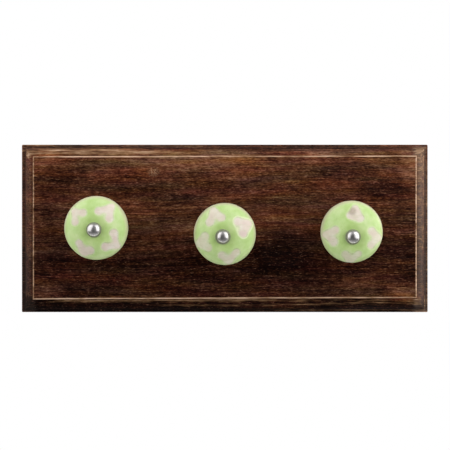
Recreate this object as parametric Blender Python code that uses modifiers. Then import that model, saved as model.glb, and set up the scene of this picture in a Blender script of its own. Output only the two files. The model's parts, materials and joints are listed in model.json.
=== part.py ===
"""Wall rack: a dark, moulded wooden board with three glazed ceramic knobs to hang things on.

Metres, +Z up.  The front faces -Y and +X is to the right of a person who looks at it.  The back
lies in the wall plane, y = 0.  The origin is midway between the two screws it hangs from.

Each knob is clamped to the board by its own bolt: domed head, front washer, ceramic, gasket,
ferrule, board, steel washer and nut.  An empty stands where each bolt leaves the board's face,
with its Z axis pointing out along the bolt, and the pieces of that knob are its children.
"""

import math

import bmesh
import bpy
import numpy as np
from mathutils import Vector

MM = 0.001
GAP = 0.3 * MM                      # air left between two pieces that touch

# ---- Board -------------------------------------------------------------------------------------
BOARD_WIDTH = 254.0 * MM
BOARD_HEIGHT = 104.8 * MM
BOARD_THICKNESS = 16.0 * MM
BOARD_CENTRE_Z = -30.0 * MM         # below the line through the two wall screws
EDGE_ROUND = 0.6 * MM               # worn outer edges of the plank
OVOLO_HEIGHT = 4.8 * MM             # rise of the quarter-round moulding
OVOLO_STEPS = 8
FIELD_STEP_HEIGHT = 1.4 * MM        # small step from the moulding up to the flat field
# Widths of the flat lip, the ovolo and the step, going in from the outline.
MOULDING_SIDES = (2.3 * MM, 4.9 * MM, 0.85 * MM)
MOULDING_TOP = (2.3 * MM, 4.6 * MM, 0.8 * MM)
MOULDING_BOTTOM = (1.6 * MM, 6.5 * MM, 1.0 * MM)

# ---- Knobs: bolt axis on the board, largest radius, and how far the bulge is off the bolt ------
KNOBS = {
    "left": {"x": -78.2 * MM, "z": -0.75 * MM, "radius": 19.35 * MM, "off_centre": (0.3, 1.1)},
    "middle": {"x": -1.1 * MM, "z": -4.9 * MM, "radius": 18.8 * MM, "off_centre": (1.1, 1.6)},
    "right": {"x": 76.6 * MM, "z": -5.0 * MM, "radius": 18.8 * MM, "off_centre": (0.3, 3.1)},
}

# Heights along the bolt are measured out from the board's front face.
FERRULE_TOP = 9.3 * MM
FERRULE_WALL = 1.5 * MM
FERRULE_FOOT_RADIUS = 11.6 * MM
FERRULE_FOOT_HEIGHT = 1.3 * MM
FERRULE_WAIST_RADIUS = 6.0 * MM
FERRULE_WAIST_HEIGHT = FERRULE_TOP - 3.0 * MM
FERRULE_RIM_RADIUS = 7.4 * MM       # rim under the ceramic
FERRULE_RIM_HEIGHT = 1.4 * MM
FERRULE_RIM_EDGE = 0.4 * MM
FLARE_STEPS = 6
GASKET_THICKNESS = 1.0 * MM
GASKET_RADIUS = 6.6 * MM
CERAMIC_BACK = FERRULE_TOP + 2 * GAP + GASKET_THICKNESS
CERAMIC_EQUATOR = 21.0 * MM
CERAMIC_CREST = 34.0 * MM
CERAMIC_NECK = 7.6 * MM
CERAMIC_FULLNESS = 2.3              # 2 gives an ellipse, more gives a flatter front
CERAMIC_BACK_SWELL = 7.5 * MM       # how far the widest part holds its width going back
CERAMIC_NECK_RISE = 4.5 * MM        # how far the neck holds its width going forward
CERAMIC_FRONT_POINTS = 14
CERAMIC_BACK_POINTS = 9
DIMPLE_DEPTH = 1.0 * MM             # shallow dish that the front washer sits in
DIMPLE_RADIUS = 6.2 * MM
DIMPLE_FLOOR_RADIUS = 5.0 * MM
FRONT_WASHER_THICKNESS = 0.8 * MM
FRONT_WASHER_RADIUS = 4.6 * MM
DOME_RADIUS = 4.0 * MM
DOME_HEIGHT = 3.0 * MM
DOME_STEPS = 8

# ---- Fasteners (M4) ----------------------------------------------------------------------------
BOLT_RADIUS = 2.0 * MM
BOLT_HOLE_RADIUS = 2.6 * MM
BOLT_TIP_SETBACK = 1.2 * MM         # the bolt stops this far short of the wall
BOLT_TIP_CHAMFER = 0.5 * MM
COUNTERBORE_RADIUS = 9.0 * MM
COUNTERBORE_DEPTH = 7.0 * MM
STEEL_WASHER_RADIUS = 6.0 * MM
STEEL_WASHER_THICKNESS = 1.0 * MM
NUT_ACROSS_FLATS = 7.0 * MM
NUT_THICKNESS = 3.2 * MM

# ---- Keyhole hanger plates, one at each end of the back ----------------------------------------
HANGER_X = 100.0 * MM
PLATE_WIDTH = 16.0 * MM
PLATE_TOP_Z = 14.0 * MM
PLATE_BOTTOM_Z = -29.0 * MM
PLATE_THICKNESS = 1.5 * MM
PLATE_SETBACK = 0.2 * MM            # plate lies this far below the back of the board
KEYHOLE_ENTRY_Z = -11.0 * MM
KEYHOLE_ENTRY_RADIUS = 4.6 * MM
KEYHOLE_SLOT_RADIUS = 2.3 * MM
POCKET_RADIUS = 5.2 * MM            # room behind the plate for the wall screw's head
POCKET_DEPTH = 8.0 * MM
PLATE_SCREW_Z = (9.5 * MM, -24.5 * MM)
SCREW_HEAD_RADIUS = 3.0 * MM
SCREW_HEAD_HEIGHT = 1.7 * MM
SCREW_HEAD_EDGE = 0.2 * MM          # upright edge round the top of the head
SCREW_HEAD_SINK = 0.1 * MM          # the head lies this far below the plate's face
SCREW_SHANK_RADIUS = 1.4 * MM
SCREW_LENGTH = 11.0 * MM
SCREW_POINT_LENGTH = 2.2 * MM
SCREW_RECESS_WIDTH = 0.7 * MM
SCREW_RECESS_LENGTH = 3.2 * MM
SCREW_RECESS_DEPTH = 1.0 * MM

# ---- Facets round each turned piece ------------------------------------------------------------
CERAMIC_STEPS = 36
FERRULE_STEPS = 24
BOLT_STEPS = 24
RING_STEPS = 24
SCREW_STEPS = 14
HOLE_STEPS = 28
MERGE_DISTANCE = 0.00001
SMOOTH_ANGLE = math.radians(35)
OVERSHOOT = 1.0 * MM                # cutters run this far past the face they open


# ---- Helpers -----------------------------------------------------------------------------------
def clear_scene():
    for old in list(bpy.data.objects):
        bpy.data.objects.remove(old, do_unlink=True)


def make_collection(name):
    collection = bpy.data.collections.new(name)
    bpy.context.scene.collection.children.link(collection)
    return collection


def principled(name, colour, roughness, metallic=0.0):
    material = bpy.data.materials.new(name)
    material.use_nodes = True
    shader = material.node_tree.nodes["Principled BSDF"]
    shader.inputs["Base Color"].default_value = (*colour, 1.0)
    shader.inputs["Roughness"].default_value = roughness
    shader.inputs["Metallic"].default_value = metallic
    return material


def add_object(name, mesh, collection, material=None, parent=None):
    obj = bpy.data.objects.new(name, mesh)
    collection.objects.link(obj)
    obj.parent = parent
    if material is not None:
        mesh.materials.append(material)
    return obj


def mesh_from_bmesh(name, shape):
    mesh = bpy.data.meshes.new(name)
    shape.to_mesh(mesh)
    shape.free()
    return mesh


def smooth(mesh):
    mesh.shade_smooth()
    mesh.set_sharp_from_angle(angle=SMOOTH_ANGLE)


def bake_modifiers(obj):
    """Swap the object's mesh for the one its modifiers make."""
    graph = bpy.context.evaluated_depsgraph_get()
    baked = bpy.data.meshes.new_from_object(obj.evaluated_get(graph))
    obj.modifiers.clear()
    obj.data = baked
    smooth(baked)


def turn(name, profile, steps, collection, material=None, parent=None, closed=True):
    """Turn a profile of (radius, height) points about Z; they run down the outer side."""
    shape = bmesh.new()
    points = [shape.verts.new((radius, 0.0, height)) for radius, height in profile]
    for start, end in zip(points, points[1:]):
        shape.edges.new((start, end))
    if closed:
        shape.edges.new((points[-1], points[0]))
    obj = add_object(name, mesh_from_bmesh(name, shape), collection, material, parent)
    screw = obj.modifiers.new("turn", "SCREW")
    screw.steps = steps
    screw.render_steps = steps
    screw.use_merge_vertices = True
    screw.merge_threshold = MERGE_DISTANCE
    bake_modifiers(obj)
    return obj


def ring_profile(inner, outer, low, high):
    return [(outer, high), (outer, low), (inner, low), (inner, high)]


def cylinder(name, radius, low, high, steps, collection, parent=None):
    """A cylinder about the parent's Z axis, from low to high along it."""
    shape = bmesh.new()
    bmesh.ops.create_cone(shape, cap_ends=True, segments=steps, radius1=radius, radius2=radius,
                          depth=high - low)
    bmesh.ops.translate(shape, verts=shape.verts, vec=(0.0, 0.0, (low + high) / 2))
    return add_object(name, mesh_from_bmesh(name, shape), collection, parent=parent)


def box(name, low, high, collection, material=None, parent=None):
    shape = bmesh.new()
    bmesh.ops.create_cube(shape, size=1.0)
    size = Vector(high) - Vector(low)
    bmesh.ops.scale(shape, verts=shape.verts, vec=size)
    bmesh.ops.translate(shape, verts=shape.verts, vec=(Vector(high) + Vector(low)) / 2)
    return add_object(name, mesh_from_bmesh(name, shape), collection, material, parent)


def mark_cutter(cutter):
    cutter.hide_render = True
    cutter.display_type = "WIRE"


def cut(obj, cutter):
    mark_cutter(cutter)
    boolean = obj.modifiers.new("cut_" + cutter.name, "BOOLEAN")
    boolean.operation = "DIFFERENCE"
    boolean.solver = "EXACT"
    boolean.object = cutter


def slot_cutter(name, radius, low_z, high_z, low_y, high_y, x, collection):
    """An upright slot with round ends, its end centres at low_z and high_z."""
    curve = bpy.data.curves.new(name, "CURVE")
    curve.dimensions = "2D"
    curve.fill_mode = "BOTH"
    curve.extrude = (high_y - low_y) / 2
    outline = []
    half_turn = HOLE_STEPS // 2
    for centre, first_angle in ((high_z, 0.0), (low_z, math.pi)):
        for step in range(half_turn + 1):
            angle = first_angle + math.pi * step / half_turn
            outline.append((radius * math.cos(angle), centre + radius * math.sin(angle)))
    spline = curve.splines.new("POLY")
    spline.points.add(len(outline) - 1)
    for point, (across, up) in zip(spline.points, outline):
        point.co = (across, up, 0.0, 1.0)
    spline.use_cyclic_u = True
    drawn = add_object(name + "_curve", curve, collection)
    drawn.location = (x, (low_y + high_y) / 2, 0.0)
    drawn.rotation_euler = (math.pi / 2, 0.0, 0.0)
    bpy.context.view_layer.update()
    graph = bpy.context.evaluated_depsgraph_get()
    mesh = bpy.data.meshes.new_from_object(drawn.evaluated_get(graph))
    shape = bmesh.new()
    shape.from_mesh(mesh)
    bmesh.ops.remove_doubles(shape, verts=shape.verts, dist=MERGE_DISTANCE)
    bmesh.ops.recalc_face_normals(shape, faces=shape.faces)
    shape.to_mesh(mesh)
    shape.free()
    cutter = add_object(name, mesh, collection)
    cutter.matrix_world = drawn.matrix_world
    bpy.data.objects.remove(drawn, do_unlink=True)
    return cutter


# ---- Board -------------------------------------------------------------------------------------
def moulding_rings():
    """(inset, rise) of each ring of the moulding, counted on from the ring outside it."""
    lip, ovolo, step_width = MOULDING_SIDES
    rings = [(lip - EDGE_ROUND, 0.0)]
    for step in range(OVOLO_STEPS):
        start = math.pi / 2 * step / OVOLO_STEPS
        end = math.pi / 2 * (step + 1) / OVOLO_STEPS
        rings.append((ovolo * (math.cos(start) - math.cos(end)),
                      OVOLO_HEIGHT * (math.sin(end) - math.sin(start))))
    rings.append((step_width, FIELD_STEP_HEIGHT))
    return rings


def fit_moulding(shape, widths, side):
    """Give the rings along the top (side 1) or bottom (side -1) edge widths of their own."""
    drawn = np.cumsum((0.0,) + MOULDING_SIDES)
    wanted = np.cumsum((0.0,) + widths)
    for vert in shape.verts:
        if vert.co.z * side > 0.0:
            inset = BOARD_HEIGHT / 2 - vert.co.z * side
            vert.co.z = side * (BOARD_HEIGHT / 2 - np.interp(inset, drawn, wanted))


def make_board(collection, cutters, material):
    side_depth = BOARD_THICKNESS - OVOLO_HEIGHT - FIELD_STEP_HEIGHT
    shape = bmesh.new()
    bmesh.ops.create_cube(shape, size=1.0)
    bmesh.ops.scale(shape, verts=shape.verts, vec=(BOARD_WIDTH, side_depth, BOARD_HEIGHT))
    bmesh.ops.translate(shape, verts=shape.verts, vec=(0.0, -side_depth / 2, 0.0))
    bmesh.ops.bevel(shape, geom=shape.edges[:], offset=EDGE_ROUND, segments=2, profile=0.5,
                    affect="EDGES")
    front = min(shape.faces, key=lambda face: face.calc_center_median().y)
    for inset, rise in moulding_rings():
        bmesh.ops.inset_region(shape, faces=[front], thickness=inset, use_even_offset=True)
        bmesh.ops.translate(shape, verts=front.verts, vec=(0.0, -rise, 0.0))
    fit_moulding(shape, MOULDING_TOP, 1)
    fit_moulding(shape, MOULDING_BOTTOM, -1)
    board = add_object("board", mesh_from_bmesh("board", shape), collection, material)
    board.location = (0.0, 0.0, BOARD_CENTRE_Z)
    for side, knob in KNOBS.items():
        axis = bpy.data.objects["axis_" + side]
        cut(board, cylinder("bolt_hole_" + side, BOLT_HOLE_RADIUS,
                            -BOARD_THICKNESS - OVERSHOOT, OVERSHOOT, HOLE_STEPS, cutters, axis))
        cut(board, cylinder("counterbore_" + side, COUNTERBORE_RADIUS,
                            -BOARD_THICKNESS - OVERSHOOT, COUNTERBORE_DEPTH - BOARD_THICKNESS,
                            HOLE_STEPS, cutters, axis))
    for side, x in (("left", -HANGER_X), ("right", HANGER_X)):
        cut_hanger_seat(board, side, x, cutters)
    return board


def cut_hanger_seat(board, side, x, cutters):
    """The shallow seat of a hanger plate, the pocket behind it and its screws' pilot holes."""
    half = PLATE_WIDTH / 2 + GAP
    floor = PLATE_SETBACK + PLATE_THICKNESS + GAP
    cut(board, box("plate_seat_" + side, (x - half, -floor, PLATE_BOTTOM_Z - GAP),
                   (x + half, OVERSHOOT, PLATE_TOP_Z + GAP), cutters))
    cut(board, slot_cutter("head_pocket_" + side, POCKET_RADIUS, KEYHOLE_ENTRY_Z, 0.0,
                           -POCKET_DEPTH, -floor + OVERSHOOT, x, cutters))
    for number, z in enumerate(PLATE_SCREW_Z):
        pilot = cylinder(f"pilot_{side}_{number}", SCREW_SHANK_RADIUS + GAP, 0.0,
                         SCREW_LENGTH + OVERSHOOT, SCREW_STEPS, cutters)
        pilot.location = (x, 0.0, z)
        pilot.rotation_euler = (math.pi / 2, 0.0, 0.0)
        cut(board, pilot)


# ---- Knobs -------------------------------------------------------------------------------------
def make_axis(side, knob, collection):
    axis = bpy.data.objects.new("axis_" + side, None)
    collection.objects.link(axis)
    axis.location = (knob["x"], -BOARD_THICKNESS, BOARD_CENTRE_Z + knob["z"])
    axis.rotation_euler = (math.pi / 2, 0.0, 0.0)
    return axis


def ceramic_front(radius, largest):
    """Height of the glazed front at a radius: a flattened dome with a dished middle."""
    dome = math.sqrt(1.0 - (radius / largest) ** CERAMIC_FULLNESS)
    dish = math.exp(-((radius / DIMPLE_RADIUS) ** 4))
    return CERAMIC_EQUATOR + (CERAMIC_CREST - CERAMIC_EQUATOR) * dome - DIMPLE_DEPTH * dish


def ceramic_back(fraction, largest):
    """Point on the back, an S-curve from the equator (0) to the neck (1)."""
    handles = np.array([(largest, CERAMIC_EQUATOR),
                        (largest, CERAMIC_EQUATOR - CERAMIC_BACK_SWELL),
                        (CERAMIC_NECK, CERAMIC_BACK + CERAMIC_NECK_RISE),
                        (CERAMIC_NECK, CERAMIC_BACK)])
    rest = 1.0 - fraction
    weights = (rest ** 3, 3 * rest ** 2 * fraction, 3 * rest * fraction ** 2, fraction ** 3)
    return tuple(np.dot(weights, handles))


def ceramic_profile(largest):
    first = math.asin(DIMPLE_FLOOR_RADIUS / largest)
    floor = ceramic_front(DIMPLE_FLOOR_RADIUS, largest)
    profile = [(BOLT_HOLE_RADIUS, floor)]
    for step in range(CERAMIC_FRONT_POINTS):
        angle = first + (math.pi / 2 - first) * step / CERAMIC_FRONT_POINTS
        radius = largest * math.sin(angle)
        profile.append((radius, ceramic_front(radius, largest)))
    for step in range(CERAMIC_BACK_POINTS + 1):
        profile.append(ceramic_back(step / CERAMIC_BACK_POINTS, largest))
    profile.append((BOLT_HOLE_RADIUS, CERAMIC_BACK))
    return profile


def shift_bulge(mesh, largest, off_centre):
    """Move the wide part off the bolt, as on a hand-made knob; the middle stays on it."""
    for vert in mesh.vertices:
        radius = math.hypot(vert.co.x, vert.co.y)
        part = min(max((radius - CERAMIC_NECK) / (largest - CERAMIC_NECK), 0.0), 1.0)
        blend = part * part * (3.0 - 2.0 * part)
        vert.co.x += off_centre[0] * MM * blend
        vert.co.y += off_centre[1] * MM * blend


def make_ceramic(side, knob, axis, collection, material):
    ceramic = turn("knob_" + side, ceramic_profile(knob["radius"]), CERAMIC_STEPS, collection,
                   material, axis)
    shift_bulge(ceramic.data, knob["radius"], knob["off_centre"])


def washer_seat():
    """Height of the dish floor that the front washer lies on."""
    return ceramic_front(DIMPLE_FLOOR_RADIUS, KNOBS["left"]["radius"]) + GAP


def make_bolt(side, axis, collection, material):
    under_head = washer_seat() + FRONT_WASHER_THICKNESS + GAP
    ball = (DOME_RADIUS ** 2 + DOME_HEIGHT ** 2) / (2 * DOME_HEIGHT)
    reach = math.asin(DOME_RADIUS / ball)
    profile = []
    for step in range(DOME_STEPS + 1):
        angle = reach * step / DOME_STEPS
        profile.append((ball * math.sin(angle),
                        under_head + DOME_HEIGHT - ball * (1.0 - math.cos(angle))))
    tip = BOLT_TIP_SETBACK - BOARD_THICKNESS
    profile += [(BOLT_RADIUS, under_head), (BOLT_RADIUS, tip + BOLT_TIP_CHAMFER),
                (BOLT_RADIUS - BOLT_TIP_CHAMFER, tip), (0.0, tip)]
    turn("bolt_" + side, profile, BOLT_STEPS, collection, material, axis, closed=False)


def make_front_washer(side, axis, collection, material):
    low = washer_seat()
    turn("front_washer_" + side,
         ring_profile(BOLT_RADIUS + GAP, FRONT_WASHER_RADIUS, low, low + FRONT_WASHER_THICKNESS),
         RING_STEPS, collection, material, axis)


def make_gasket(side, axis, collection, material):
    low = FERRULE_TOP + GAP
    turn("rear_gasket_" + side,
         ring_profile(BOLT_HOLE_RADIUS, GASKET_RADIUS, low, low + GASKET_THICKNESS),
         RING_STEPS, collection, material, axis)


def flare(waist, foot):
    """Quarter of an ellipse, upright at the waist and level at the foot, both (radius, height)."""
    points = []
    for step in range(FLARE_STEPS + 1):
        angle = math.pi / 2 * step / FLARE_STEPS
        points.append((waist[0] + (foot[0] - waist[0]) * (1.0 - math.cos(angle)),
                       waist[1] + (foot[1] - waist[1]) * math.sin(angle)))
    return points


def ferrule_profile():
    """A flared metal foot, hollow from behind, with a rim under the ceramic."""
    rim_foot = FERRULE_TOP - FERRULE_RIM_HEIGHT
    inner_top = FERRULE_TOP - FERRULE_WALL
    outside = [(BOLT_HOLE_RADIUS, FERRULE_TOP),
               (FERRULE_RIM_RADIUS - FERRULE_RIM_EDGE, FERRULE_TOP),
               (FERRULE_RIM_RADIUS, FERRULE_TOP - FERRULE_RIM_EDGE),
               (FERRULE_RIM_RADIUS, rim_foot + FERRULE_RIM_EDGE),
               (FERRULE_WAIST_RADIUS + FERRULE_RIM_EDGE, rim_foot)]
    outside += flare((FERRULE_WAIST_RADIUS, FERRULE_WAIST_HEIGHT),
                     (FERRULE_FOOT_RADIUS, FERRULE_FOOT_HEIGHT))
    outside.append((FERRULE_FOOT_RADIUS, GAP))
    inside = flare((FERRULE_WAIST_RADIUS - FERRULE_WALL, FERRULE_WAIST_HEIGHT),
                   (FERRULE_FOOT_RADIUS - FERRULE_WALL, GAP))
    inside.reverse()
    inside += [(FERRULE_WAIST_RADIUS - FERRULE_WALL, inner_top), (BOLT_HOLE_RADIUS, inner_top)]
    return outside + inside


def make_ferrule(side, axis, collection, material):
    turn("ferrule_" + side, ferrule_profile(), FERRULE_STEPS, collection, material, axis)


def make_back_washer(side, axis, collection, material):
    high = COUNTERBORE_DEPTH - BOARD_THICKNESS - GAP
    turn("back_washer_" + side,
         ring_profile(BOLT_RADIUS + GAP, STEEL_WASHER_RADIUS, high - STEEL_WASHER_THICKNESS, high),
         RING_STEPS, collection, material, axis)


def make_nut(side, axis, collection, cutters, material):
    high = COUNTERBORE_DEPTH - BOARD_THICKNESS - 2 * GAP - STEEL_WASHER_THICKNESS
    low = high - NUT_THICKNESS
    corner = NUT_ACROSS_FLATS / math.sqrt(3.0)
    nut = cylinder("hex_nut_" + side, corner, low, high, 6, collection, axis)
    nut.data.materials.append(material)
    cut(nut, cylinder("nut_bore_" + side, BOLT_RADIUS + GAP, low - OVERSHOOT, high + OVERSHOOT,
                      SCREW_STEPS, cutters, axis))


# ---- Hanger plates -----------------------------------------------------------------------------
def make_hanger_plate(side, x, collection, cutters, material):
    half = PLATE_WIDTH / 2
    front = -PLATE_SETBACK - PLATE_THICKNESS
    plate = box("hanger_plate_" + side, (x - half, front, PLATE_BOTTOM_Z),
                (x + half, -PLATE_SETBACK, PLATE_TOP_Z), collection, material)
    low_y = front - OVERSHOOT
    cut(plate, slot_cutter("keyhole_slot_" + side, KEYHOLE_SLOT_RADIUS, KEYHOLE_ENTRY_Z, 0.0,
                           low_y, OVERSHOOT, x, cutters))
    entry = cylinder("keyhole_entry_" + side, KEYHOLE_ENTRY_RADIUS, -OVERSHOOT, -low_y,
                     HOLE_STEPS, cutters)
    entry.location = (x, 0.0, KEYHOLE_ENTRY_Z)
    entry.rotation_euler = (math.pi / 2, 0.0, 0.0)
    cut(plate, entry)
    for number, z in enumerate(PLATE_SCREW_Z):
        sink = turn(f"countersink_{side}_{number}", screw_hole_profile(), SCREW_STEPS, cutters,
                    closed=False)
        sink.location = (x, -PLATE_SETBACK, z)
        sink.rotation_euler = (-math.pi / 2, 0.0, 0.0)
        cut(plate, sink)


def screw_hole_profile():
    """Countersunk hole through the plate; height 0 is the plate's visible face."""
    wide = SCREW_HEAD_RADIUS + GAP
    narrow = SCREW_SHANK_RADIUS + GAP
    depth = PLATE_THICKNESS - SCREW_HEAD_EDGE
    foot = wide - (wide - narrow) * depth / SCREW_HEAD_HEIGHT
    through = -PLATE_THICKNESS - OVERSHOOT
    return [(0.0, OVERSHOOT), (wide, OVERSHOOT), (wide, 0.0), (foot, -depth), (foot, through),
            (0.0, through)]


def screw_profile():
    """Countersunk wood screw; height 0 is the top of its head."""
    neck = -SCREW_HEAD_HEIGHT
    return [(0.0, 0.0), (SCREW_HEAD_RADIUS, 0.0), (SCREW_HEAD_RADIUS, -SCREW_HEAD_EDGE),
            (SCREW_SHANK_RADIUS, neck), (SCREW_SHANK_RADIUS, SCREW_POINT_LENGTH - SCREW_LENGTH),
            (0.0, -SCREW_LENGTH)]


def make_plate_screw(side, x, end, z, collection, cutters, material):
    name = f"plate_screw_{side}_{end}"
    screw = turn(name, screw_profile(), SCREW_STEPS, collection, material, closed=False)
    screw.location = (x, -PLATE_SETBACK - SCREW_HEAD_SINK, z)
    screw.rotation_euler = (-math.pi / 2, 0.0, 0.0)
    longer = SCREW_RECESS_LENGTH / 2
    shorter = SCREW_RECESS_WIDTH / 2
    for label, across, along in (("a", longer, shorter), ("b", shorter, longer)):
        cut(screw, box(f"recess_{label}_{side}_{end}", (-across, -along, -SCREW_RECESS_DEPTH),
                       (across, along, OVERSHOOT), cutters, parent=screw))


# ---- Materials and assembly --------------------------------------------------------------------
def main():
    clear_scene()
    parts = make_collection("wall_knob_rack")
    cutters = make_collection("cutters")
    wood = principled("stained_wood", (0.055, 0.024, 0.014), 0.45)
    glaze = principled("green_glaze", (0.52, 0.68, 0.29), 0.12)
    polished = principled("polished_steel", (0.62, 0.61, 0.60), 0.12, 1.0)
    plated = principled("zinc_plated_steel", (0.55, 0.55, 0.53), 0.35, 1.0)
    rubber = principled("dark_rubber", (0.05, 0.05, 0.04), 0.6)
    for side, knob in KNOBS.items():
        axis = make_axis(side, knob, parts)
        make_ceramic(side, knob, axis, parts, glaze)
        make_bolt(side, axis, parts, polished)
        make_front_washer(side, axis, parts, rubber)
        make_gasket(side, axis, parts, rubber)
        make_ferrule(side, axis, parts, polished)
        make_back_washer(side, axis, parts, plated)
        make_nut(side, axis, parts, cutters, plated)
    make_board(parts, cutters, wood)
    for side, x in (("left", -HANGER_X), ("right", HANGER_X)):
        make_hanger_plate(side, x, parts, cutters, plated)
        for end, z in zip(("top", "bottom"), PLATE_SCREW_Z):
            make_plate_screw(side, x, end, z, parts, cutters, plated)


main()
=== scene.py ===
"""Looks of the wall rack: a stained and worn wooden board with three glazed knobs on it.

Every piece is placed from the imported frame: the board's box gives the board, and each knob's joint
gives its bolt axis.  Lengths are in metres.  The front faces -Y and +Z is up.  A knob's pieces are
made in coordinates of their own: across (+X), out of the board (-Y) and up (+Z) from the point
where the bolt leaves the board's front face.
"""
import json
import math
from collections import namedtuple
from types import SimpleNamespace

import bmesh
import bpy
import numpy as np
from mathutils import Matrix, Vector


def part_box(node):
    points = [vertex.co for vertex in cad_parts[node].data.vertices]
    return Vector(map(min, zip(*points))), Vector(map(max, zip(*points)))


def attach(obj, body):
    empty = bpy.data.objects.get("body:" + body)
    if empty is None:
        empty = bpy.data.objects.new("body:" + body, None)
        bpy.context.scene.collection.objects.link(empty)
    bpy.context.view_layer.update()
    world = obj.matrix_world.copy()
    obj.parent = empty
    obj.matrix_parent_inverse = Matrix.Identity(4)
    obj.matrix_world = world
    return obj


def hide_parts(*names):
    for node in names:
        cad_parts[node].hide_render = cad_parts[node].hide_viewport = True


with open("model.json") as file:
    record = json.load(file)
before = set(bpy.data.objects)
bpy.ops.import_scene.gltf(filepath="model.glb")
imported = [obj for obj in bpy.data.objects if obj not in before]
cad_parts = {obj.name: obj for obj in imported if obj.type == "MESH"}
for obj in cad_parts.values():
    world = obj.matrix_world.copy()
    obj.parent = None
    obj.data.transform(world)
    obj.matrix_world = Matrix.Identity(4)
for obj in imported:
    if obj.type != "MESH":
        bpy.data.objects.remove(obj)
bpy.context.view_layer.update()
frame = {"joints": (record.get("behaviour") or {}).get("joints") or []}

MM = 0.001
GAP = 0.3 * MM                      # between pieces that touch
SEED = 11
EDGE_STEPS = 4                      # steps in a small rounded edge

# ---- Places read from the frame ----
BOARD_LOW, BOARD_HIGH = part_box("board")
BOARD_CENTRE = (BOARD_LOW + BOARD_HIGH) / 2
HALF_WIDTH = (BOARD_HIGH.x - BOARD_LOW.x) / 2
HALF_HEIGHT = (BOARD_HIGH.z - BOARD_LOW.z) / 2
FRONT_Y = BOARD_LOW.y
SIDES = ("left", "middle", "right")
AXES = {joint["child"]: Vector((joint["pos_m"][0], FRONT_Y, joint["pos_m"][2]))
        for joint in frame["joints"]}

# ---- Board ----
EDGE_ROUND = 0.6 * MM
LIP_DEPTH = 9.8 * MM                # the flat lip lies this far in front of the wall
OVOLO_HEIGHT = 4.8 * MM
# Widths of the lip, the quarter-round (ovolo) and the step below the field, seen from the front.
MOULDING_SIDES = (2.3 * MM, 4.9 * MM, 0.85 * MM)
MOULDING_TOP = (2.3 * MM, 4.6 * MM, 0.8 * MM)
MOULDING_BOTTOM = (1.6 * MM, 6.5 * MM, 1.0 * MM)
SIDE_BAND = 9 * MM                  # the left, right and top sides' moulding is narrower than this
BOTTOM_BAND = 10 * MM
CORNER_ROUND = 0.7 * MM             # seen from the front; smaller on the arris
ARRIS_CORNER_ROUND = 0.12 * MM
TOP_SLOPE, BOTTOM_SLOPE = 0.0015, 0.0038    # how the field's edges rise towards +X
ACROSS_STEPS, UP_STEPS = 116, 48
ARRIS_WAVE, ARRIS_WAVE_LENGTH = 0.10 * MM, 23 * MM
COUNTERBORE_RADIUS = 9.0 * MM
COUNTERBORE_DEPTH = 7.0 * MM
BOLT_HOLE_RADIUS = 2.6 * MM
PLATE_SEAT_DEPTH = 2.0 * MM
POCKET_RADIUS = 5.2 * MM
POCKET_DEPTH = 8.0 * MM
KEYHOLE_DROP = 11.0 * MM            # from the seat of the wall screw down to the entry hole

# ---- Knobs, heights measured out from the board's front face ----
CENTRE = 0.0001 * MM                # a turned piece's ends stop this close to its axis
NUT_ACROSS_FLATS = 7.0 * MM
CERAMIC_BACK = 10.9 * MM
CERAMIC_EQUATOR = 21.0 * MM
CERAMIC_CREST = 34.0 * MM
CERAMIC_NECK = 7.6 * MM
CERAMIC_FULLNESS = 2.3
CERAMIC_BACK_SWELL = 7.5 * MM
CERAMIC_NECK_RISE = 4.5 * MM
DIMPLE_DEPTH = 1.0 * MM
DIMPLE_RADIUS = 6.2 * MM
DIMPLE_FLOOR_RADIUS = 5.0 * MM
KNOB_COLUMNS = 256
HEAD_RADIUS = {"left": 3.9 * MM, "middle": 3.6 * MM, "right": 3.8 * MM}
# A heart seen from the front round the bolt: its point and two lobes as (degrees anticlockwise from
# +X, mm from the bolt), the half width of its strokes and how far they melt together (mm), how bare
# of glaze it is, and how strong the paler line round it is: thin glaze and a painted highlight.
Heart = namedtuple("Heart", "point first second stroke melt bare halo")
HEARTS = {
    "left": (Heart((54, 17.2), (77, 11.6), (36, 11.4), 2.35, 5.6, 1.0, 0.3),
             Heart((138, 16.8), (123, 12.2), (158, 12.4), 2.2, 5.0, 0.9, 0.3),
             Heart((244, 15.2), (221, 12.2), (260, 12.6), 2.1, 7.5, 0.95, 0.2),
             Heart((324, 16.8), (350, 11.9), (304, 12.3), 2.5, 5.0, 1.0, 0.4)),
    "middle": (Heart((27, 17.0), (46, 12.9), (9, 12.4), 2.4, 7.5, 1.0, 1.0),
               Heart((110, 17.0), (133, 11.8), (94, 11.6), 2.4, 6.2, 0.9, 0.2),
               Heart((196, 14.8), (177, 10.8), (218, 11.2), 2.2, 7.5, 0.7, 0.1),
               Heart((283, 15.4), (266, 11.2), (311, 12.4), 2.2, 6.5, 0.8, 0.2)),
    "right": (Heart((84, 17.2), (96, 13.0), (68, 12.2), 2.3, 6.4, 0.95, 0.3),
              Heart((175, 15.8), (158, 11.3), (196, 11.7), 2.2, 6.4, 0.85, 0.4),
              Heart((266, 14.6), (247, 11.4), (288, 10.9), 2.05, 6.0, 0.7, 0.2),
              Heart((358, 15.8), (17, 12.0), (336, 12.2), 2.3, 6.6, 0.85, 0.4)),
}
SMUDGE_PLACE, SMUDGE_RADIUS = (15.6 * MM, 91), 2.6 * MM    # on the right knob's top heart
HEART_POINT = 0.5 * MM              # half width of a heart's strokes at its point
GLAZE_TURN = 30.0 * MM              # this far behind the widest ring counts as a whole radius inwards
HEART_RIM = 0.05 * MM               # height of the glaze heaped up round a heart
HEART_RECESS = 0.16 * MM            # depth of the bare clay below the glaze
HEART_EDGE = 0.65 * MM              # width of the slope between the two


# ---- Mesh helpers ----
def add_object(name, data, location=(0.0, 0.0, 0.0)):
    obj = bpy.data.objects.new(name, data)
    bpy.context.scene.collection.objects.link(obj)
    obj.location = location
    return obj


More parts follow.
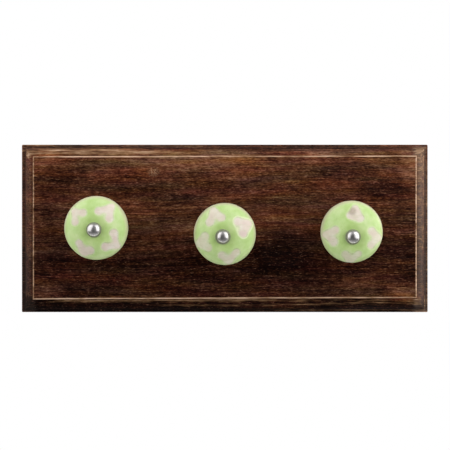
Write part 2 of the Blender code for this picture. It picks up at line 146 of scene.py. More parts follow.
def face_outwards(mesh, merge=0.0):
    """Turn every face outwards, first joining points that are closer together than merge."""
    shape = bmesh.new()
    shape.from_mesh(mesh)
    if merge:
        bmesh.ops.remove_doubles(shape, verts=shape.verts, dist=merge)
    bmesh.ops.recalc_face_normals(shape, faces=shape.faces)
    shape.to_mesh(mesh)
    shape.free()


def shade(mesh, angle):
    mesh.shade_smooth()
    mesh.set_sharp_from_angle(angle=math.radians(angle))


def quarter_turn(count):
    return np.radians(np.linspace(0, 90, count))


def set_attributes(mesh, attributes):
    for label, values in attributes.items():
        layer = mesh.attributes.new(label, "FLOAT", "POINT")
        layer.data.foreach_set("value", values.reshape(-1).astype(np.float32))


def quads(index):
    """Faces between neighbouring rows and columns of a grid of point numbers."""
    corners = (index[:-1, :-1], index[:-1, 1:], index[1:, 1:], index[1:, :-1])
    return np.stack(corners, -1).reshape(-1, 4).tolist()


def grid_mesh(name, points, attributes=None):
    """A closed tube of quads through rows x columns points; both directions wrap round."""
    rows, columns = points.shape[:2]
    index = np.arange(rows * columns).reshape(rows, columns)
    mesh = bpy.data.meshes.new(name)
    mesh.from_pydata(points.reshape(-1, 3).tolist(), [], quads(np.pad(index, ((0, 1), (0, 1)), "wrap")))
    set_attributes(mesh, attributes or {})
    face_outwards(mesh)
    return mesh


def revolve(profile, columns):
    """Points of a profile of (radius, height) turned about the bolt: across, -height, up."""
    profile = np.asarray(profile, float)
    turn = np.linspace(0.0, 2 * math.pi, columns, endpoint=False)
    radius, height = profile[:, 0:1], profile[:, 1:2]
    return np.stack([radius * np.cos(turn), -height + 0.0 * turn, radius * np.sin(turn)], -1)


def arc(centre, radius, start, end, steps):
    """Points (radius, height) on an arc; angles in degrees from the outward direction."""
    angles = np.radians(np.linspace(start, end, steps + 1))
    return [(centre[0] + radius * math.cos(a), centre[1] + radius * math.sin(a)) for a in angles]


def rounded_ring(inner, outer, low, high, edge):
    """Profile of a washer with rounded edges, down the outside and up the bore."""
    return (arc((outer - edge, high - edge), edge, 90, 0, EDGE_STEPS)
            + arc((outer - edge, low + edge), edge, 0, -90, EDGE_STEPS)
            + arc((inner + edge, low + edge), edge, -90, -180, EDGE_STEPS)
            + arc((inner + edge, high - edge), edge, 180, 90, EDGE_STEPS))


def evaluated_mesh(obj):
    """A new mesh of what the object's modifiers or curves make."""
    bpy.context.view_layer.update()
    graph = bpy.context.evaluated_depsgraph_get()
    return bpy.data.meshes.new_from_object(obj.evaluated_get(graph))


def boolean(obj, cutters, operation="DIFFERENCE"):
    for cutter in cutters:
        modifier = obj.modifiers.new(cutter.name, "BOOLEAN")
        modifier.operation = operation
        modifier.solver = "EXACT"
        modifier.object = cutter
    cut = evaluated_mesh(obj)
    obj.modifiers.clear()
    obj.data = cut
    for cutter in cutters:
        bpy.data.objects.remove(cutter, do_unlink=True)


def prism(name, outline, low_y, high_y, location=(0.0, 0.0, 0.0)):
    """A closed prism along Y over an outline of (across, up) points."""
    count = len(outline)
    points = [(u, y, v) for y in (low_y, high_y) for u, v in outline]
    faces = [tuple(range(count)), tuple(range(2 * count - 1, count - 1, -1))]
    faces += [(i, (i + 1) % count, count + (i + 1) % count, count + i) for i in range(count)]
    mesh = bpy.data.meshes.new(name)
    mesh.from_pydata(points, [], faces)
    face_outwards(mesh)
    return add_object(name, mesh, location)


def circle(radius, steps):
    return [(radius * math.cos(2 * math.pi * i / steps), radius * math.sin(2 * math.pi * i / steps))
            for i in range(steps)]


def slot_outline(radius, low, high):
    """An upright slot with round ends, whose centres are at heights low and high."""
    return [(radius * math.cos(a), height + radius * math.sin(a))
            for height, start in ((high, 0.0), (low, math.pi))
            for a in np.linspace(start, start + math.pi, 24)]


def place(obj, material, body, slot, node):
    """Give a piece its material and its body, and hide the CAD node that it stands for. The slot is not
    used.
    """
    if material is not None:
        obj.data.materials.clear()
        obj.data.materials.append(material)
    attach(obj, body)
    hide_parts(node)


# ---- Shader helpers ----
class Nodes:
    """The node tree of a material or a world."""

    def __init__(self, owner):
        owner.use_nodes = True
        self.nodes = owner.node_tree.nodes
        self.links = owner.node_tree.links

    def put(self, socket, value):
        """Link an output to the socket, or set a constant on it; a colour has three values."""
        if isinstance(value, bpy.types.NodeSocket):
            self.links.new(value, socket)
        elif socket.type == "RGBA":
            socket.default_value = (*value, 1.0)
        else:
            socket.default_value = value

    def node(self, kind, output, inputs, **settings):
        """Add a node, set it up, fill its inputs by name or number, and return one of its outputs."""
        node = self.nodes.new("ShaderNode" + kind)
        for name, value in settings.items():
            setattr(node, name, value)
        for name, value in inputs.items():
            self.put(node.inputs[name], value)
        return node.outputs[output]

    def height(self, place):
        return self.node("SeparateXYZ", "Z", {0: place})


class Shade(Nodes):
    """Builds one material; most methods add a node and return its output."""

    def __init__(self, name):
        self.material = bpy.data.materials.new(name)
        super().__init__(self.material)
        self.place = self.node("TexCoord", "Object", {})

    def surface(self, colour, rough, normal=None, **constants):
        """Set the shader's inputs; constants are named as its sockets are, with _ for a space."""
        shader = self.nodes["Principled BSDF"]
        self.put(shader.inputs["Base Color"], colour)
        self.put(shader.inputs["Roughness"], rough)
        if normal is not None:
            self.put(shader.inputs["Normal"], normal)
        for name, value in constants.items():
            self.put(shader.inputs[name.replace("_", " ")], value)

    def add(self, a, b):
        return self.node("Math", 0, {0: a, 1: b}, operation="ADD")

    def times(self, a, b):
        return self.node("Math", 0, {0: a, 1: b}, operation="MULTIPLY")

    def sway(self, source, amount):
        """A noise of 0 to 1 turned into a change to either side of 0."""
        return self.times(self.add(source, -0.5), amount)

    def mix(self, factor, a, b, blend="MIX"):
        inputs = {"Factor": factor, 6: a, 7: b}
        return self.node("Mix", 2, inputs, data_type="RGBA", blend_type=blend)

    def stretch(self, scale, place=None, offset=(0.0, 0.0, 0.0), turn=0.0):
        """The place scaled, moved and turned by so many degrees about Y."""
        return self.node("Mapping", 0, {"Vector": place or self.place, "Scale": scale,
                                        "Location": offset, "Rotation": (0.0, math.radians(turn), 0.0)})

    def noise(self, scale, detail=2.0, roughness=0.5, place=None, offset=(0.0, 0.0, 0.0)):
        """Noise of one scale, or with a scale along each axis."""
        place = place or self.place
        if isinstance(scale, tuple):
            place, scale = self.stretch(scale, place, offset), 1.0
        return self.node("TexNoise", "Fac", {"Vector": place, "Scale": scale, "Detail": detail,
                                             "Roughness": roughness})

    def span(self, value, low, high, to_low=0.0, to_high=1.0):
        inputs = {"Value": value, "From Min": low, "From Max": high, "To Min": to_low,
                  "To Max": to_high}
        return self.node("MapRange", 0, inputs, interpolation_type="SMOOTHSTEP")

    def ramp(self, factor, stops):
        node = self.nodes.new("ShaderNodeValToRGB")
        self.put(node.inputs["Fac"], factor)
        elements = node.color_ramp.elements
        while len(elements) < len(stops):
            elements.new(1.0)
        for element, (position, colour) in zip(elements, stops):
            element.position = position
            element.color = (*colour, 1.0)
        return node.outputs["Color"]

    def attribute(self, name):
        return self.node("Attribute", "Fac", {}, attribute_name=name)

    def blob(self, centre, half):
        """1 round a point of the board's face, falling to 0 at half widths away from it."""
        moved = self.stretch((1 / half[0], 0.0, 1 / half[1]),
                             offset=(-centre[0] / half[0], 0.0, -centre[1] / half[1]))
        distance = self.node("VectorMath", "Value", {0: moved}, operation="LENGTH")
        return self.span(distance, 1.0, 0.15)

    def bump(self, height, distance, strength):
        return self.node("Bump", 0, {"Height": height, "Distance": distance, "Strength": strength})


# ---- Wood ----
# How light the stain is from the bottom edge to the top edge of the board.
STAIN_BANDS = (0.24, 0.34, 0.30, 0.26, 0.27, 0.38, 0.50, 0.47, 0.49, 0.44, 0.52, 0.60, 0.54)
# Soft patches: x, z from the board's centre and half sizes in mm, and how much lighter.
STAIN_PATCHES = (
    (-14, 41, 48, 17, 0.14), (22, 26, 40, 10, 0.06), (-60, 27, 26, 9, -0.06),
    (-82, 38, 22, 9, 0.07), (-45, 38, 18, 9, -0.09), (2, 38, 16, 9, -0.06), (76, 37, 34, 10, -0.16),
    (36, 29, 22, 8, 0.06), (-45, 28, 30, 7, -0.04), (-95, 30, 34, 9, -0.08),
    (100, 26, 30, 12, -0.16), (115, 36, 10, 16, 0.19), (-98, 19, 24, 9, -0.12),
    (-54, 19, 12, 8, 0.12), (-10, 19, 26, 8, 0.06), (71, 19, 10, 6, -0.07), (89, 19, 9, 6, 0.05),
    (30, 5, 46, 14, 0.10), (-24, 2, 26, 12, 0.09), (-40, 12, 10, 8, -0.05),
    (-110, 6, 14, 18, -0.08), (-36, 5, 14, 14, -0.06), (36, 0, 18, 8, -0.14), (54, 0, 10, 9, -0.08),
    (110, 11, 12, 7, -0.18), (36, -16, 34, 20, -0.15), (40, -8, 22, 7, -0.08),
    (107, -8, 10, 7, 0.08), (-90, -18, 14, 6, 0.18), (-72, -17, 10, 6, 0.08),
    (53, -17, 9, 6, -0.06), (89, -18, 12, 6, -0.12), (-62, -30, 60, 14, 0.03),
    (-75, -27, 16, 6, -0.11), (-36, -27, 10, 6, -0.11), (-10, -27, 24, 6, 0.08),
    (98, -27, 22, 6, 0.08), (92, -34, 36, 18, 0.12), (-18, -36, 24, 6, 0.13),
    (30, -36, 16, 5, -0.06), (112, -41, 16, 9, 0.32), (-113, 42, 12, 8, 0.18),
    (-109, -39, 16, 7, 0.24),
)
SCUFF = (-44.3, 35.3)             # a small scuffed spot on the field, from the board's centre


def wood_material():
    m = Shade("stained_wood")
    wander = m.noise((7.0, 7.0, 24.0), 1.0)
    lift = m.node("CombineXYZ", 0, {"Z": m.sway(wander, 10.0 * MM)})
    grain = m.node("VectorMath", 0, {0: m.place, 1: lift}, operation="ADD")
    cloud = m.noise((30.0, 110.0, 110.0), 3.0, 0.55, grain)
    smear = m.noise((330.0, 100.0, 120.0), 3.0, 0.5, m.stretch((1.0, 1.0, 1.0), turn=24.0))
    streak = m.noise((18.0, 900.0, 1150.0), 4.0, 0.75, grain)
    fibre = m.noise((190.0, 1700.0, 2000.0), 3.0, 0.6, grain)
    pore = m.noise((700.0, 2400.0, 2400.0), 1.0, 0.5, grain, (3.0, 1.0, 7.0))
    patchy = m.noise((70.0, 500.0, 500.0), 3.0, 0.6, grain)
    warm = m.noise((26.0, 170.0, 190.0), 3.0, 0.5, grain, (5.0, 0.0, 2.0))
    yellow = m.noise((34.0, 260.0, 280.0), 3.0, 0.5, grain, (1.0, 4.0, 9.0))
    per_metre = 0.5 / HALF_HEIGHT
    height = m.height(m.stretch((1.0, 1.0, per_metre), grain,
                                (0.0, 0.0, 0.5 - BOARD_CENTRE.z * per_metre)))
    bands = [(i / (len(STAIN_BANDS) - 1), (tone,) * 3) for i, tone in enumerate(STAIN_BANDS)]
    tone = m.ramp(height, bands)
    for source, amount in ((cloud, 0.6), (smear, 0.3), (streak, 0.85), (fibre, 0.9), (pore, 0.75)):
        tone = m.add(tone, m.sway(source, amount))
    # The moulding's tone, painted shade included, and the field's patches.
    tone = m.add(tone, m.attribute("tone"))
    colour = m.ramp(tone, ((0.0, (0.0042, 0.0011, 0.0008)), (0.2, (0.0210, 0.0060, 0.0034)),
                           (0.4, (0.065, 0.0212, 0.0112)), (0.6, (0.160, 0.0590, 0.0300)),
                           (0.8, (0.32, 0.143, 0.073)), (1.0, (0.52, 0.28, 0.165))))
    for source, low, high in ((warm, (0.68, 0.84, 0.90), (0.97, 0.75, 0.69)),
                              (yellow, (0.86, 0.79, 0.98), (0.88, 0.90, 0.60))):
        colour = m.mix(1.0, colour, m.ramp(source, ((0.32, low), (0.68, high))), "MULTIPLY")
    dash = m.times(m.span(pore, 0.62, 0.72), m.span(fibre, 0.46, 0.60))
    colour = m.mix(m.times(dash, 0.5), colour, (0.24, 0.135, 0.09))
    scuff = m.times(m.blob((SCUFF[0] * MM, BOARD_CENTRE.z + SCUFF[1] * MM), (5 * MM, 4 * MM)),
                    m.span(m.noise(1500.0), 0.48, 0.57, 0.0, 0.9))
    colour = m.mix(scuff, colour, (0.36, 0.22, 0.13))
    # The greyish film: dust, and painted sheen on the side lips and quarter-rounds.
    dust = m.times(m.attribute("dust"), m.span(fibre, 0.3, 0.7, 0.7, 1.3))
    colour = m.mix(dust, colour, (0.20, 0.155, 0.135))
    # Bare wood where the stain is rubbed off; on the arris and the right side the pale rub is also a
    # painted highlight and sheen.
    rub = m.attribute("wear")
    for source, amount in ((streak, 0.9), (fibre, 0.6), (patchy, 1.3)):
        rub = m.add(rub, m.sway(source, amount))
    worn = m.times(m.span(rub, 0.15, 0.95), m.span(m.attribute("wear"), 0.02, 0.12))
    bare = m.ramp(rub, ((0.2, (0.17, 0.080, 0.032)), (0.6, (0.35, 0.20, 0.10)),
                        (1.0, (0.68, 0.46, 0.33))))
    colour = m.mix(worn, colour, bare)
    relief = m.add(m.times(streak, 0.5), m.add(m.times(fibre, 0.5), m.times(pore, 0.3)))
    # Where the stain has pooled thick it is dull.
    dull = m.span(m.attribute("tone"), -0.10, -0.17, 0.0, 0.6)
    rough = m.add(m.span(streak, 0.3, 0.7, 0.30, 0.40), m.add(dull, m.times(worn, 0.15)))
    m.surface(colour, rough, m.bump(relief, 0.06 * MM, 0.7), Specular_IOR_Level=0.05)
    return m.material


def raw_wood_material():
    m = Shade("bored_wood")
    ring = m.noise((60.0, 700.0, 700.0), 4.0, 0.6)
    fuzz = m.noise(1500.0)
    tone = m.add(m.times(ring, 0.7), m.times(fuzz, 0.3))
    colour = m.ramp(tone, ((0.3, (0.10, 0.048, 0.026)), (0.5, (0.20, 0.105, 0.058)),
                           (0.72, (0.33, 0.19, 0.11))))
    m.surface(colour, 0.75, m.bump(tone, 0.15 * MM, 0.7))
    return m.material


# ---- Other materials ----
def glaze_material(side):
    """Green glaze, deeper green towards the bolt, with bare off-white hearts held back from it."""
    m = Shade("green_glaze_" + side)
    heart = m.attribute("heart")
    spread = m.attribute("spread")
    mottle = m.noise(170.0, 4.0, 0.55)
    speck = m.noise(900.0)
    edge_noise = m.noise(420.0, 3.0, 0.6)
    green = m.ramp(mottle, ((0.32, (0.47, 0.66, 0.235)), (0.5, (0.53, 0.71, 0.29)),
                            (0.68, (0.61, 0.75, 0.36))))
    # Deeper green towards the bolt.
    toward_bolt = m.span(spread, 0.60, 0.30)
    green = m.mix(m.times(toward_bolt, 0.3), green, (0.42, 0.60, 0.16))
    # Cream at the widest ring: glaze running thin, and a painted sheen that is painted stronger on the
    # upper side, where the light falls.
    painted_top_light = m.span(m.height(m.place), -12 * MM, 6 * MM, 0.25, 0.8)
    thin_glaze_and_sheen = m.times(m.span(spread, 0.88, 1.0), painted_top_light)
    green = m.mix(thin_glaze_and_sheen, green, (0.63, 0.58, 0.40))
    green = m.mix(m.span(speck, 0.68, 0.76, 0.0, 0.35), green, (0.30, 0.42, 0.12))
    soft = m.add(heart, m.sway(edge_noise, 0.9 * MM))
    inside = m.times(m.span(soft, 0.7 * MM, -0.7 * MM), m.attribute("bare"))
    # The paler line round a heart: thinner glaze, and a painted highlight on the heaped rim of glaze.
    halo = m.times(m.span(soft, 1.3 * MM, 0.4 * MM), m.span(soft, -0.2 * MM, 0.4 * MM))
    biscuit = m.ramp(m.noise(230.0, 3.0),
                     ((0.3, (0.73, 0.60, 0.53)), (0.5, (0.77, 0.67, 0.575)),
                      (0.7, (0.81, 0.74, 0.65))))
    grime = m.times(m.attribute("grime"), m.span(edge_noise, 0.25, 0.45, 0.55, 1.0))
    biscuit = m.mix(grime, biscuit, (0.40, 0.31, 0.25))
    halo = m.times(halo, m.attribute("halo"))
    colour = m.mix(m.times(halo, 0.8), green, (0.78, 0.84, 0.54))
    brush = m.noise((260.0, 260.0, 900.0))
    biscuit = m.mix(m.span(brush, 0.52, 0.68, 0.0, 0.35), biscuit, (0.62, 0.60, 0.42))
    colour = m.mix(inside, colour, biscuit)
    # A thin darker line round each heart: painted shade along the edge of its recess.
    outline = m.times(m.span(soft, -0.1 * MM, 0.2 * MM), m.span(soft, 0.55 * MM, 0.25 * MM))
    outline = m.times(outline, m.span(edge_noise, 0.48, 0.62, 0.0, 0.35))
    colour = m.mix(outline, colour, (0.30, 0.27, 0.14))
    rough = m.span(inside, 0.0, 1.0, 0.28, 0.5)
    relief = m.add(m.times(mottle, 0.6), m.times(speck, 0.25))
    m.surface(colour, rough, m.bump(relief, 0.05 * MM, 0.5), IOR=1.5, Specular_IOR_Level=0.18)
    return m.material


def metal_material(name, light, dark, roughness, scratch):
    """Metal with faint rubbed marks; scratch is the depth of the marks."""
    m = Shade(name)
    wear = m.noise(260.0, 4.0, 0.6)
    fine = m.noise((3800.0, 900.0, 700.0))
    colour = m.mix(m.span(wear, 0.35, 0.7), light, dark)
    rough = m.add(m.span(wear, 0.35, 0.75, roughness * 0.75, roughness * 1.3),
                  m.sway(fine, roughness * 0.3))
    marks = m.add(m.times(wear, 0.5), m.times(fine, 0.3))
    m.surface(colour, rough, m.bump(marks, scratch, 0.4), Metallic=1.0)
    return m.material


def rubber_material():
    m = Shade("dark_rubber")
    grain = m.noise(2600.0, 3.0, 0.6)
    dust = m.noise(500.0, 3.0, 0.6)
    # Light olive: the rim of a real washer round each bolt head, whose colour also paints the shade of
    # the glaze round the head.
    colour = m.mix(m.span(dust, 0.45, 0.75), (0.25, 0.27, 0.17), (0.34, 0.36, 0.24))
    m.surface(colour, m.span(grain, 0.3, 0.7, 0.55, 0.75), m.bump(grain, 0.03 * MM, 0.5))
    return m.material


# ---- Board ----
def moulding_profile():
    """Rows from the back edge to the field: shares of lip, ovolo and step, more inset, and depth."""
    rows = []
    for angle in quarter_turn(5):
        rows.append((0.0, 0.0, 0.0, EDGE_ROUND * (1 - math.sin(angle)),
                     EDGE_ROUND * (1 - math.cos(angle))))
    for depth in np.linspace(EDGE_ROUND, LIP_DEPTH - EDGE_ROUND, 8)[1:]:
        rows.append((0.0, 0.0, 0.0, 0.0, depth))
    for angle in quarter_turn(5)[1:]:
        rows.append((0.0, 0.0, 0.0, EDGE_ROUND * (1 - math.cos(angle)),
                     LIP_DEPTH - EDGE_ROUND * (1 - math.sin(angle))))
    for share in (0.55, 0.8, 0.93):
        rows.append((share, 0.0, 0.0, 0.0, LIP_DEPTH))
    rows.append((1.0, 0.0, 0.0, 0.0, LIP_DEPTH + 0.06 * MM))
    for angle in quarter_turn(19)[1:]:
        rows.append((1.0, 1 - math.cos(angle), 0.0, 0.0,
                     LIP_DEPTH + OVOLO_HEIGHT * math.sin(angle)))
    step_foot = LIP_DEPTH + OVOLO_HEIGHT
    step_rise = -FRONT_Y - step_foot
    for share in (0.12, 0.4, 0.62):
        rows.append((1.0, 1.0, share, 0.0, step_foot + step_rise * share))
    for share, inset, drop in ((0.78, 0.0, 0.25), (0.9, 0.0, 0.11), (1.0, 0.05, 0.04),
                               (1.0, 0.25, 0.01), (1.0, 0.6, 0.0), (1.0, 1.2, 0.0)):
        rows.append((1.0, 1.0, share, inset * MM, -FRONT_Y - drop * MM))
    return np.array(rows)


def side_fractions(count, length):
    """Places along one side: close together near both corners and even in between."""
    corner = np.array([0.0, 0.2, 0.45, 0.8, 1.3, 2.0]) * MM / length
    middle = np.linspace(corner[-1], 1 - corner[-1], count)[1:-1]
    return np.concatenate([corner, middle, 1 - corner[::-1]])


def board_ring(row, across, up, corner):
    """One ring of the board's surface, anticlockwise from the front, from the bottom left."""
    lip, ovolo, step, more, depth = row
    inset = {name: lip * widths[0] + ovolo * widths[1] + step * widths[2] + more
             for name, widths in (("side", MOULDING_SIDES), ("top", MOULDING_TOP),
                                  ("bottom", MOULDING_BOTTOM))}
    left, right = -HALF_WIDTH + inset["side"], HALF_WIDTH - inset["side"]
    low, high = -HALF_HEIGHT + inset["bottom"], HALF_HEIGHT - inset["top"]
    points = []
    for start, end, fractions in (((left, low), (right, low), across),
                                  ((right, low), (right, high), up),
                                  ((right, high), (left, high), across),
                                  ((left, high), (left, low), up)):
        start, end = np.array(start), np.array(end)
        length = np.linalg.norm(end - start)
        along = (end - start) / length
        inward = np.array([-along[1], along[0]])
        for fraction in fractions[:-1]:
            reach = fraction * length
            near = min(reach, length - reach)
            point = start + along * reach
            if near < corner:
                turn = math.radians(45) * (1 - near / corner)
                shift = corner - corner * math.sin(turn) - near
                direction = along if reach < length / 2 else -along
                point = point + direction * shift + inward * corner * (1 - math.cos(turn))
            points.append(point)
    points = np.array(points)
    return np.stack([points[:, 0], np.full(len(points), -depth), points[:, 1]], -1)


def along_x(x, *places):
    """A value read off along the board from (x in mm, value) pairs."""
    return np.interp(x, [place * MM for place, _ in places], [value for _, value in places])


def corner_distance(rings, corner_columns):
    gaps = [np.linalg.norm(rings - rings[:, column:column + 1], axis=-1)
            for column in corner_columns]
    return np.min(gaps, axis=0)


def moulding_zones(rings, profile, mitre):
    """For each point of the moulding: how far in it is, on which side and on which part."""
    x, z = rings[..., 0], rings[..., 2]
    lip, ovolo, step, more, depth = (profile[:, i][:, None] for i in range(5))
    return SimpleNamespace(
        x=x, lip=lip, ovolo=ovolo, step=step, more=more, depth=depth, mitre=mitre,
        left=x < SIDE_BAND - HALF_WIDTH, right=x > HALF_WIDTH - SIDE_BAND,
        top=z > HALF_HEIGHT - SIDE_BAND, bottom=z < BOTTOM_BAND - HALF_HEIGHT,
        upward=np.clip(z / HALF_HEIGHT, -1, 1),
        on_ovolo=(ovolo > 0.0) & (step < 0.1), on_lip=(lip > 0.3) & (ovolo <= 0.0))


def board_wear_and_sheen(at):
    """How far the stain is rubbed off, 0 to 1, at each point of the moulding, with a painted highlight
    on the arris and painted sheen on the right side.
    """
    x, ovolo = at.x, at.ovolo
    # The arris: bare wood where the stain is rubbed off, and a painted highlight along the edge.
    reach = np.where(at.top, along_x(x, (20, 1.9), (80, 3.4)), 1.9)
    arris = np.clip(at.step * reach - 0.5, 0.0, 1.0)
    arris = arris * np.exp(-np.clip(at.more - 0.25 * MM, 0, None) / (0.2 * MM))
    along_arris = along_x(x, (-118, 0.75), (-100, 1.0), (-30, 0.9), (40, 0.8), (118, 0.85))
    wear = arris * np.where(at.top | at.bottom, along_arris, np.where(at.left, 0.7, 0.9))
    outer = np.exp(-((at.depth - LIP_DEPTH) / (0.7 * MM)) ** 2) * (at.lip < 0.5)
    top_edge = along_x(x, (-120, 0.4), (-60, 0.25), (-20, 0.0), (120, 0.0))
    wear += outer * np.where(at.top, top_edge, np.where(at.right, 0.45, 0.10))
    # The top side's quarter-round, rubbed most on the left, and its lip.
    between = np.abs(x) < HALF_WIDTH - 3 * MM
    centre = along_x(x, (-120, 0.45), (-60, 0.55), (0, 0.7), (60, 0.95), (120, 0.95))
    amount = along_x(x, (-125, 0.5), (-100, 0.66), (-40, 0.6), (-15, 0.18), (60, 0.16), (120, 0.16))
    spread = along_x(x, (-60, 0.5), (-15, 0.35), (120, 0.35))
    wear += at.on_ovolo * at.top * between * amount * np.exp(-((ovolo - centre) / spread) ** 2)
    top_lip = along_x(x, (-126, 0.30), (-60, 0.32), (-25, 0.05), (120, 0.05))
    wear += at.on_lip * at.top * top_lip
    # The bottom side's quarter-round: its inner half, then a streak along its middle; then its lip.
    amount = along_x(x, (-120, 0.05), (-110, 0.25), (-98, 0.74), (-70, 0.72), (-50, 0.6), (0, 0.65),
                     (40, 0.42), (122, 0.3))
    inner_half = np.clip((ovolo - 0.5) / 0.5, 0, 1) ** 1.5
    wear += at.on_ovolo * at.bottom * between * amount * inner_half
    streak = along_x(x, (-60, 0.0), (-30, 0.34), (0, 0.4), (60, 0.42), (120, 0.25))
    middle = along_x(x, (-30, 0.42), (0, 0.42), (80, 0.60))
    wear += at.on_ovolo * at.bottom * streak * np.exp(-((ovolo - middle) / 0.12) ** 2)
    bottom_lip = along_x(x, (0, 0.0), (60, 0.55), (122, 0.5))
    wear += (at.lip > 0.7) * (ovolo <= 0.0) * at.bottom * bottom_lip
    # The right side, more towards the top: rubbed stain and a painted sheen from the light there; the
    # left side; the mitre at the top left, a painted light line where the faces turn.
    wear += at.right * at.on_ovolo * (0.34 + 0.22 * at.upward)
    wear += at.right * at.on_lip * (0.16 + 0.12 * at.upward)
    wear += at.left * at.on_ovolo * 0.06
    at_mitre = (at.on_ovolo | at.on_lip) * np.exp(-(at.mitre / (0.9 * MM)) ** 2)
    wear += at_mitre * at.top * ~at.right * 0.08
    return np.clip(wear, 0.0, 1.0)


def board_tone_and_shade(at):
    """How much lighter (or darker, below 0) the moulding is than the field: the stain, with painted
    shade on the top quarter-round's outer part and along the bottom side.
    """
    x, ovolo = at.x, at.ovolo
    crevice = np.exp(-(ovolo / 0.03) ** 2) * (at.lip > 0.9) * (at.step < 0.1)
    tone = -0.10 * at.on_lip * ~at.right - 0.14 * crevice
    tone += 0.05 * at.on_ovolo * ~at.bottom
    past_left = x > -60 * MM
    # Painted shade on the outer part of the top quarter-round, which faces up into the light.
    tone -= at.top * at.on_ovolo * 0.24 * np.clip(1 - ovolo / 0.6, 0, 1) * past_left
    middle = along_x(x, (-50, 0.0), (-25, 1.0), (22, 1.0), (50, 0.0))
    tone -= at.top * middle * (at.on_ovolo * (0.05 + 0.1 * np.clip(1 - ovolo / 0.3, 0, 1))
                               + 0.19 * (at.lip < 0.5) - 0.02 * at.on_lip)
    tone += at.top * at.on_lip * (along_x(x, (50, 0.0), (70, 0.1), (110, 0.1)) - 0.06 * past_left)
    tone -= at.left * at.on_ovolo * 0.14 * np.clip(1 - ovolo / 0.5, 0, 1)
    either = at.on_lip | at.on_ovolo
    # Darker along the bottom side: stain, and painted shade on the faces that turn down, away from the
    # light.
    tone -= at.bottom * either * along_x(x, (-60, 0.24), (0, 0.20), (80, 0.14))
    return tone - 0.08 * np.exp(-((at.mitre - 1.2 * MM) / (0.5 * MM)) ** 2) * either


def board_dust_and_sheen(at):
    """How far a greyish film covers the moulding, 0 to 1: dust, and painted sheen on the left and right
    sides.
    """
    lip_dust_and_sheen = np.select([at.right, at.left, at.top], [0.42, 0.13, 0.12], 0.0)
    right_dust_and_sheen = (0.42 + 0.15 * at.upward) * np.clip(at.ovolo / 0.4, 0.5, 1.0)
    return at.on_lip * lip_dust_and_sheen + at.on_ovolo * (at.right * right_dust_and_sheen + at.left * 0.06)


def stain_patches(x, z):
    """How much lighter the broad patches make the stain at places on the front."""
    total = np.zeros_like(x)
    for centre_x, centre_z, half_x, half_z, amount in STAIN_PATCHES:
        reach = np.hypot((x / MM - centre_x) / half_x, (z / MM - centre_z) / half_z)
        share = np.clip((1.0 - reach) / 0.85, 0.0, 1.0)
        total += amount * share * share * (3.0 - 2.0 * share)
    return total


def smooth_random(rng, positions, spacing):
    """A smooth random value near 0 at each position, with features about spacing long."""
    total = np.zeros_like(positions)
    for octave in range(3):
        phase, stretch = rng.uniform(0, 2 * math.pi), rng.uniform(0.8, 1.2)
        turns = positions / spacing * 2 ** octave * stretch
        total += np.sin(turns * 2 * math.pi + phase) / 2 ** octave
    return total / 2


def moulding_rings(profile, across, up):
    """The moulding's points, one ring to a row of the profile, with the field cut out of square."""
    corners = np.interp(profile[:, 4], [0.0, LIP_DEPTH, LIP_DEPTH + OVOLO_HEIGHT, -FRONT_Y],
                        [CORNER_ROUND, CORNER_ROUND, ARRIS_CORNER_ROUND, ARRIS_CORNER_ROUND])
    corners[-1] = 0.0
    rings = np.array([board_ring(row, across, up, corner) for row, corner in zip(profile, corners)])
    slope = np.where(rings[..., 2] < 0, BOTTOM_SLOPE, TOP_SLOPE)
    rings[..., 2] += profile[:, 1][:, None] * rings[..., 0] * slope
    return rings


def field_grid(last_ring, border, first_inner, columns, rows):
    """The flat field inside the last ring: its grid of point numbers, and its inner points."""
    grid = np.zeros((rows, columns), int)
    grid[0, :] = border + np.arange(columns)
    grid[:, -1] = border + columns - 1 + np.arange(rows)
    grid[-1, ::-1] = border + columns + rows - 2 + np.arange(columns)
    grid[1:, 0] = (border + 2 * columns + rows - 3 + np.arange(rows - 1))[::-1]
    x, z = np.meshgrid(last_ring[1:columns - 1, 0], last_ring[columns:columns + rows - 2, 2])
    grid[1:-1, 1:-1] = first_inner + np.arange(x.size).reshape(x.shape)
    return grid, np.stack([x, np.full_like(x, FRONT_Y), z], -1).reshape(-1, 3)


